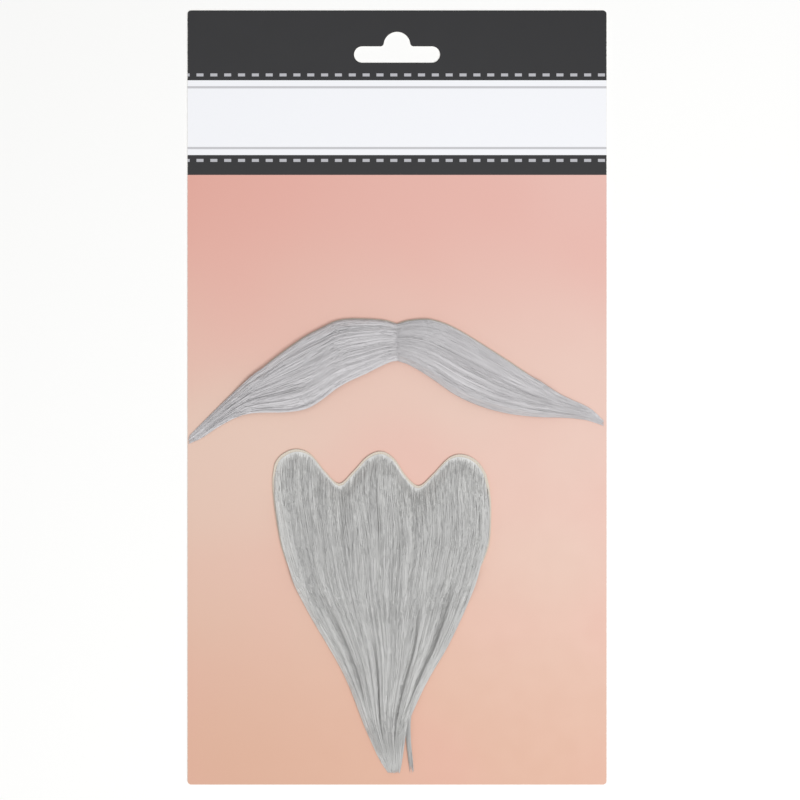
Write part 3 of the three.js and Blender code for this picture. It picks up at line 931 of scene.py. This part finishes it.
def cotton_knit(look):
    # Fine warp-knitted cotton, unbleached: rows of small loops give it a matt ribbed face with a soft fuzz
    made, node = new_material("Unbleached warp-knitted cotton")
    place = node("ShaderNodeTexCoord").outputs["Object"]
    wales = node(
        "ShaderNodeTexWave",
        {"Vector": place, "Scale": WAVE_BANDS / look.wale_pitch, "Distortion": 0.6, "Detail": 1.0},
        wave_type="BANDS", bands_direction="X",
    )
    courses = node(
        "ShaderNodeTexWave",
        {"Vector": place, "Scale": WAVE_BANDS / look.course_pitch, "Distortion": 0.8, "Detail": 1.0},
        wave_type="BANDS", bands_direction="Y",
    )
    loops = node("ShaderNodeMath", {0: wales.outputs[1], 1: courses.outputs[1]}, operation="MULTIPLY")
    fuzz = node("ShaderNodeTexNoise", {"Vector": place, "Scale": 1 / (0.15 * MM), "Detail": 3.0})
    relief = node("ShaderNodeMath", {0: fuzz, 1: 0.3, 2: loops}, operation="MULTIPLY_ADD")
    bump = node("ShaderNodeBump", {"Height": relief, "Strength": 0.6, "Distance": 0.12 * MM})
    # Painted shade: the yarn is painted darker down between the loops and paler on top of them
    lit = node("ShaderNodeMapRange", {"Value": relief, "To Min": 0.25, "To Max": 1.0})
    colour = node("ShaderNodeMix", {"Factor": lit, "A": look.shade, "B": look.yarn}, data_type="RGBA")
    surface = node(
        "ShaderNodeBsdfPrincipled",
        {
            "Base Color": colour,
            "Normal": bump,
            "Roughness": 0.9,
            "Sheen Weight": 0.25,
            "Sheen Roughness": 0.6,
        },
    )
    node("ShaderNodeOutputMaterial", {"Surface": surface})
    return made


def combed_fibre(name, dark, light):
    # Modacrylic wig fibre, drawn and combed straight: smooth grey filaments with a soft silky shine, in
    # streaks of lighter and darker grey
    made, node = new_material(name)
    tone = node("ShaderNodeAttribute", attribute_name="tone").outputs["Fac"]
    place = node("ShaderNodeTexCoord").outputs["Object"]
    patch = node("ShaderNodeTexNoise", {"Vector": place, "Scale": 1 / (14 * MM), "Detail": 2.0})
    drift = node("ShaderNodeMapRange", {"Value": patch, "To Min": -0.1, "To Max": 0.1})
    mixed = node("ShaderNodeMath", {0: tone, 1: drift}, operation="ADD", use_clamp=True)
    colour = node("ShaderNodeMix", {"Factor": mixed, "A": dark, "B": light}, data_type="RGBA")
    scales = node("ShaderNodeTexNoise", {"Vector": place, "Scale": 1 / (0.5 * MM), "Detail": 2.0})
    roughness = node("ShaderNodeMapRange", {"Value": scales, "To Min": 0.42, "To Max": 0.62})
    surface = node(
        "ShaderNodeBsdfPrincipled",
        {
            "Base Color": colour,
            "Roughness": roughness,
            "IOR": 1.5,
            "Specular IOR Level": 0.3,
            "Sheen Weight": 0.1,
            "Sheen Roughness": 0.4,
        },
    )
    node("ShaderNodeOutputMaterial", {"Surface": surface})
    return made


def seamless_paper(look):
    # Matt seamless background paper: an even white with almost no shine
    made, node = new_material("Matt white background paper")
    place = node("ShaderNodeTexCoord").outputs["Object"]
    pulp = node("ShaderNodeTexNoise", {"Vector": place, "Scale": 1 / (3 * MM), "Detail": 4.0})
    bump = node("ShaderNodeBump", {"Height": pulp, "Strength": 0.05, "Distance": 0.05 * MM})
    surface = node(
        "ShaderNodeBsdfPrincipled",
        {"Base Color": look.floor, "Roughness": 0.9, "Normal": bump, "Specular IOR Level": 0.1},
    )
    node("ShaderNodeOutputMaterial", {"Surface": surface})
    return made


def colour_setting(name, what, value):
    return FloatVectorProperty(
        name=name, description=what, subtype="COLOR", size=4, min=0, max=1, default=linear(value)
    )


def length_setting(name, what, value):
    return FloatProperty(name=name, description=what, unit="LENGTH", precision=5, min=0, default=value)


def share_setting(name, what, value):
    return FloatProperty(name=name, description=what, subtype="FACTOR", min=0, max=1, default=value)


class CardLook(PropertyGroup):
    """The printed board's bands, rules and inks"""

    upper_band: length_setting("Upper band", "Height of the black band at the slot", 26.0 * MM)
    lower_band: length_setting("Lower band", "From the top to the second black band", 53.8 * MM)
    panel_top: length_setting("Panel top", "Where the bare panel starts, from the top", 61.2 * MM)
    rule_inset: length_setting("Rule inset", "From a black band to the white one's thin rule", 2.6 * MM)
    rule_height: length_setting("Rule height", "Height of the thin rules", 0.85 * MM)
    dash_inset: length_setting("Dash inset", "From a black band's inner edge to its dashes", 2.0 * MM)
    dash_pitch: length_setting("Dash pitch", "From one dash to the next", 5.15 * MM)
    dash_length: length_setting("Dash length", "Length of a dash", 2.6 * MM)
    dash_height: length_setting("Dash height", "Height of a dash", 1.1 * MM)
    dash_start: length_setting("Dash start", "How far right of the middle one dash is centred", 3.95 * MM)
    mottle_size: length_setting("Mottle size", "Size of the panel's soft patches", 70 * MM)
    worn_edge: length_setting("Worn edge", "How far the ink is chipped along the cut sides", 0.25 * MM)
    panel_middle: share_setting("Panel middle", "Where it is palest, as a share of its height", 0.42)
    mottle: share_setting("Mottle", "How strongly the panel's blush shows", 0.35)
    black: colour_setting("Black", "The black bands", "#1e1e21")
    white: colour_setting("White", "The white band", "#f3f4f8")
    rule: colour_setting("Rule", "The thin rules", "#c4c4c8")
    dash: colour_setting("Dash", "The dashes", "#b6b6bc")
    panel_upper: colour_setting("Panel upper", "The panel below the black bands", "#dfa598")
    panel_palest: colour_setting("Panel palest", "The panel where it is palest", "#dfc0b0")
    panel_lower: colour_setting("Panel lower", "The panel's lower edge", "#d8aa92")
    panel_corner: colour_setting("Panel corner", "What its upper right corner tends to", "#eccac2")
    panel_blush: colour_setting("Blush", "The panel's soft patches", "#e2a79c")
    board: colour_setting("Board", "Unprinted board, as on the back and the cut edges", "#e9e7e2")
    board_fleck: colour_setting("Board fleck", "Flecks in the unprinted board", "#cfccc4")


class ClothLook(PropertyGroup):
    """The knitted backings"""

    wale_pitch: length_setting("Wale pitch", "From one column of loops to the next", 0.9 * MM)
    course_pitch: length_setting("Course pitch", "From one row of loops to the next", 0.7 * MM)
    edge_radius: length_setting("Edge radius", "Rounding of the cloth's cut edge", 0.3 * MM)
    yarn: colour_setting("Yarn", "The yarn", "#e0d8cc")
    # Painted shade for the yarn down between the loops
    shade: colour_setting("Shade", "The yarn down between the loops", "#cdc0ae")


class HairLook(PropertyGroup):
    """The combed hair of the moustache and the goatee"""

    radius: length_setting("Strand radius", "Of a drawn strand, which stands for a few fibres", 0.11 * MM)
    wing_strands: IntProperty(
        name="Wing strands", description="Strands in each wing", min=100, max=2000, default=1600
    )
    layer_strands: IntProperty(
        name="Layer strands", description="Strands in a goatee's layer", min=100, max=1800, default=1780
    )
    stray_strands: IntProperty(
        name="Stray strands", description="Strands in the stray lock", min=5, max=200, default=36
    )
    wander: share_setting("Wander", "How far a strand swings, as a share of the hair's width", 0.03)
    lean: share_setting("Lean", "How far a lock leans, as a share of the hair's width", 0.05)
    strays: share_setting("Strays", "Share of strands that stray and lie on top", 0.03)
    wing_dark: colour_setting("Moustache dark", "The moustache's darkest streaks", "#bcbabc")
    wing_light: colour_setting("Moustache light", "The moustache's lightest streaks", "#e9e7e9")
    goatee_dark: colour_setting("Goatee dark", "The goatee's darkest streaks", "#adadad")
    goatee_light: colour_setting("Goatee light", "The goatee's lightest streaks", "#e0e0de")


class StageLook(PropertyGroup):
    """The floor, the camera and the lights"""

    view_width: length_setting("View width", "Width of the picture on the card's face", 297.6 * MM)
    focal_length: FloatProperty(
        name="Focal length", description="The lens, in millimetres", min=20, max=300, default=85
    )
    aim_right: FloatProperty(
        name="Aim right", description="How far right of the card's middle", unit="LENGTH", default=1.1 * MM
    )
    aim_up: FloatProperty(
        name="Aim up", description="How far up from the card's middle", unit="LENGTH", default=-0.93 * MM
    )
    floor: colour_setting("Floor", "The background paper", "#fdfdfc")
    key_power: FloatProperty(name="Key light", description="Main light", subtype="POWER", default=10.5)
    fill_power: FloatProperty(name="Fill light", description="Soft light", subtype="POWER", default=3.5)
    world: FloatProperty(name="World", description="Strength of the even light all round", default=0.42)


class FALSEHAIR_OT_hanging_card(Operator):
    """Give the hanging card its printed finish"""

    bl_idname = "falsehair.hanging_card"
    bl_label = "Hanging Card"
    bl_options = {"REGISTER", "UNDO"}

    def execute(self, context):
        board = printed_board(context.scene.false_hair_card)
        for filled in bpy.data.objects["card"].material_slots:
            filled.material = board
        return {"FINISHED"}


class FALSEHAIR_OT_knitted_backings(Operator):
    """Cut the knitted cloths that the hair is fixed to"""

    bl_idname = "falsehair.knitted_backings"
    bl_label = "Knitted Backings"
    bl_options = {"REGISTER", "UNDO"}

    def execute(self, context):
        look = context.scene.false_hair_cloth
        knit = cotton_knit(look)
        left, right = (cloth_grid(wing, tucked_sides=(0, 1)) for wing in make_wings().values())
        moustache = np.concatenate([left[::-1], right[1:]])
        goatee = cloth_grid(Goatee(GOATEE_PARTINGS), tucked_sides=(0, 0))
        knitted_piece("moustache_knit", "moustache_backing", moustache, knit, look.edge_radius)
        knitted_piece("goatee_knit", "goatee_backing", goatee, knit, look.edge_radius)
        return {"FINISHED"}


class FALSEHAIR_OT_moustache(Operator):
    """Grow and comb the moustache's two wings"""

    bl_idname = "falsehair.moustache"
    bl_label = "Moustache"
    bl_options = {"REGISTER", "UNDO"}

    def execute(self, context):
        look = context.scene.false_hair
        fibre = combed_fibre("Silver modacrylic fibre", look.wing_dark, look.wing_light)
        tree = combed_strands()
        for seed, (side, wing) in enumerate(make_wings().items(), WING_SEED):
            body = under_hair(f"moustache_body_{side}", wing, WING_BODY_END)
            settings = {
                "Strands": look.wing_strands,
                "Stations": WING_STATIONS,
                "Lower depth": 0.5,
                "Root spread": 0.6,
                "Root unevenness": 0.03,
                "Shortness": 0.45,
            }
            strands = grow(f"moustache_strands_{side}", wing, tree, look, fibre, seed, settings)
            body.data.materials.append(fibre)
            for piece in (body, strands):
                ride_on_card(piece, "moustache_fibre", f"moustache_hair_{side}")
        return {"FINISHED"}


class FALSEHAIR_OT_goatee(Operator):
    """Grow and comb the goatee, layer on layer, and its stray lock"""

    bl_idname = "falsehair.goatee"
    bl_label = "Goatee"
    bl_options = {"REGISTER", "UNDO"}

    def execute(self, context):
        look = context.scene.false_hair
        fibre = combed_fibre("Grey modacrylic fibre", look.goatee_dark, look.goatee_light)
        tree = combed_strands()
        goatee = Goatee(GOATEE_PARTINGS)
        pieces = [under_hair("goatee_body", goatee, GOATEE_BODY_END)]
        pieces[0].data.materials.append(fibre)
        for seed, (layer, (upper, lower)) in enumerate(GOATEE_LAYERS.items(), LAYER_SEED):
            settings = {
                "Strands": look.layer_strands,
                "Stations": GOATEE_STATIONS,
                "Upper depth": upper,
                "Lower depth": lower,
                "Root spread": 0.4,
                "Root unevenness": 0.01,
                "Shortness": 0.5,
            }
            name = f"goatee_strands_{layer}"
            pieces.append(grow(name, goatee, tree, look, fibre, seed, settings))
        settings = {
            "Strands": look.stray_strands,
            "Stations": GOATEE_STATIONS,
            "Lower depth": 0.9,
            "Root spread": 0.3,
            "Root unevenness": 0.0,
            "Shortness": 0.3,
        }
        pieces.append(grow("goatee_stray_lock", StrayLock(), tree, look, fibre, STRAY_SEED, settings))
        for piece in pieces:
            ride_on_card(piece, "goatee_fibre", "goatee_hair")
        return {"FINISHED"}


class FALSEHAIR_OT_photo_stage(Operator):
    """Lay the background paper, and set the camera and the lights"""

    bl_idname = "falsehair.photo_stage"
    bl_label = "Photo Stage"
    bl_options = {"REGISTER", "UNDO"}

    def execute(self, context):
        look = context.scene.false_hair_stage
        corners = np.array([[-1, -1], [1, -1], [1, 1], [-1, 1]]) * FLOOR_HALF
        points = np.column_stack([corners, np.full(4, -FLOOR_DROP)])
        floor = new_object("background_paper", points, np.array([[0, 1, 2, 3]]))
        floor.data.materials.append(seamless_paper(look))

        lens = bpy.data.cameras.new("Photo camera")
        lens.lens = look.focal_length
        camera = bpy.data.objects.new("Photo camera", lens)
        away = look.view_width * lens.lens / lens.sensor_width
        camera.location = (look.aim_right, look.aim_up, CARD_HIGH.z + away)
        lens.clip_start = NEAREST_SEEN
        context.scene.collection.objects.link(camera)
        context.scene.camera = camera

        # The key light shines from low on the right, so the hair's shadows fall up and to the left
        soft_light(context, "Key softbox", KEY_PLACE, KEY_SIZE, look.key_power)
        soft_light(context, "Overhead softbox", FILL_PLACE, FILL_SIZE, look.fill_power)
        world = bpy.data.worlds.new("Even studio light")
        world.use_nodes = True
        world.node_tree.nodes["Background"].inputs["Color"].default_value = (1.0, 1.0, 1.0, 1.0)
        world.node_tree.nodes["Background"].inputs["Strength"].default_value = look.world
        context.scene.world = world
        context.scene.view_settings.view_transform = "Standard"
        return {"FINISHED"}


def soft_light(context, name, place, size, power):
    light = bpy.data.lights.new(name, "AREA")
    light.size = size
    light.energy = power
    lamp = bpy.data.objects.new(name, light)
    lamp.location = place
    lamp.rotation_euler = (-Vector(place)).to_track_quat("-Z", "Y").to_euler()
    context.scene.collection.objects.link(lamp)


class FALSEHAIR_PT_sidebar(Panel):
    """Lists the pieces and their looks"""

    bl_label = "Moustache and Goatee"
    bl_idname = "FALSEHAIR_PT_sidebar"
    bl_space_type = "VIEW_3D"
    bl_region_type = "UI"
    bl_category = "False Hair"

    def draw(self, context):
        scene = context.scene
        for operator in OPERATORS:
            self.layout.operator(operator.bl_idname)
        for name in LOOKS:
            box = self.layout.box()
            for key in LOOKS[name].__annotations__:
                box.prop(getattr(scene, name), key)


OPERATORS = (
    FALSEHAIR_OT_hanging_card,
    FALSEHAIR_OT_knitted_backings,
    FALSEHAIR_OT_moustache,
    FALSEHAIR_OT_goatee,
    FALSEHAIR_OT_photo_stage,
)
LOOKS = {
    "false_hair_card": CardLook,
    "false_hair_cloth": ClothLook,
    "false_hair": HairLook,
    "false_hair_stage": StageLook,
}


def register():
    for look in LOOKS.values():
        bpy.utils.register_class(look)
    for operator in OPERATORS:
        bpy.utils.register_class(operator)
    bpy.utils.register_class(FALSEHAIR_PT_sidebar)
    for name, look in LOOKS.items():
        setattr(bpy.types.Scene, name, PointerProperty(type=look))


def unregister():
    for name in LOOKS:
        delattr(bpy.types.Scene, name)
    bpy.utils.unregister_class(FALSEHAIR_PT_sidebar)
    for operator in reversed(OPERATORS):
        bpy.utils.unregister_class(operator)
    for look in reversed(LOOKS.values()):
        bpy.utils.unregister_class(look)


def main():
    register()
    bpy.ops.falsehair.photo_stage()
    bpy.ops.falsehair.hanging_card()
    bpy.ops.falsehair.knitted_backings()
    bpy.ops.falsehair.moustache()
    bpy.ops.falsehair.goatee()


if __name__ == "__main__":
    main()
